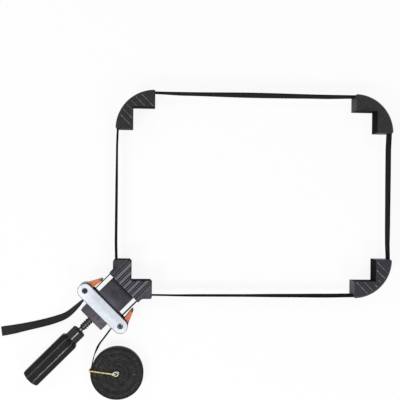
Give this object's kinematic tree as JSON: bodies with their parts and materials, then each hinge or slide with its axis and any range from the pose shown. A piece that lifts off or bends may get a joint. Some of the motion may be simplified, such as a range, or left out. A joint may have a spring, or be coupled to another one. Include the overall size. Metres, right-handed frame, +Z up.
{
  "type": "band clamp",
  "caption": "Picture-frame band clamp: a webbing loop with square corner jaws, tightened by a screw handle that pushes the main jaw away from cam-gripped band ends.",
  "frame": {"origin": "on the main jaw's sole, on the screw's axis, 4 mm in X and in Y outside the notch's corner", "axes": "+Z up from the table, +X along the clamped frame's long side, +Y along its short side; the screw lies on the diagonal between them"},
  "size_m": [0.6263, 0.4934, 0.0306],
  "materials": {
    "jaw_plastic": "satin moulded dark grey plastic",
    "main_jaw_plastic": "satin moulded grey plastic",
    "block_plastic": "satin moulded grey plastic",
    "handle_plastic": "black plastic with a soft gloss",
    "lever_plastic": "orange moulded plastic",
    "webbing": "black woven webbing",
    "plate_aluminium": "tumbled bare aluminium",
    "black_steel": "blackened steel",
    "spindle_steel": "blackened and oiled steel",
    "bright_steel": "plain turned steel",
    "tie_wire": "plastic coated wire, pale gold and white"
  },
  "bodies": {
    "root": {"main_jaw": "main_jaw_plastic", "thrust_plate": "bright_steel", "band_loop": "webbing", "band_link_left": "webbing", "band_link_right": "webbing"},
    "tensioner": {"upper_plate": "plate_aluminium", "lower_plate": "plate_aluminium", "nut_block": "block_plastic", "spindle_nut": "bright_steel", "band_anvil_left": "black_steel", "band_anvil_right": "black_steel", "cam_pin_left": "black_steel", "cam_pin_right": "black_steel", "cam_bush_left": "bright_steel", "cam_bush_right": "bright_steel", "block_screw_left": "black_steel", "block_screw_right": "black_steel", "band_tail": "webbing", "band_lead": "webbing", "band_coil": "webbing", "coil_tie": "tie_wire"},
    "spindle": {"spindle": "spindle_steel", "handle": "handle_plastic", "retaining_clip": "bright_steel"},
    "cam_lever_left": {"cam_lever_left": "lever_plastic"},
    "cam_lever_right": {"cam_lever_right": "lever_plastic"},
    "corner_jaw_top_left": {"corner_jaw_top_left": "jaw_plastic"},
    "corner_jaw_top_right": {"corner_jaw_top_right": "jaw_plastic"},
    "corner_jaw_bottom_right": {"corner_jaw_bottom_right": "jaw_plastic"}
  },
  "joints": [
    {"name": "tensioner_slide", "type": "slide", "parent": "root", "child": "tensioner", "axis": [-0.7071, -0.7071, 0], "range_m": [-0.01, 0.0255], "deforming": ["band_link_left", "band_link_right"]},
    {"name": "spindle_turn", "type": "hinge", "parent": "root", "child": "spindle", "pos_m": [0, 0, 0.015], "axis": [0.7071, 0.7071, 0], "range_deg": [-901, 2296]},
    {"name": "cam_lever_left_turn", "type": "hinge", "parent": "tensioner", "child": "cam_lever_left", "pos_m": [-0.06798, -0.01212, 0.015], "axis": [0, 0, 1], "range_deg": [0, 100]},
    {"name": "cam_lever_right_turn", "type": "hinge", "parent": "tensioner", "child": "cam_lever_right", "pos_m": [-0.01212, -0.06798, 0.015], "axis": [0, 0, -1], "range_deg": [0, 100]},
    {"name": "corner_jaw_top_left_slide", "type": "slide", "parent": "root", "child": "corner_jaw_top_left", "axis": [0.7071, -0.7071, 0], "range_m": [0, 0.06]},
    {"name": "corner_jaw_top_right_slide", "type": "slide", "parent": "root", "child": "corner_jaw_top_right", "axis": [-0.7071, -0.7071, 0], "range_m": [0, 0.06]},
    {"name": "corner_jaw_bottom_right_slide", "type": "slide", "parent": "root", "child": "corner_jaw_bottom_right", "axis": [-0.7071, 0.7071, 0], "range_m": [0, 0.06]}
  ],
  "couplings": [
    {"joint": "spindle_turn", "follows": "tensioner_slide", "rad_per_m": 1570.8}
  ]
}
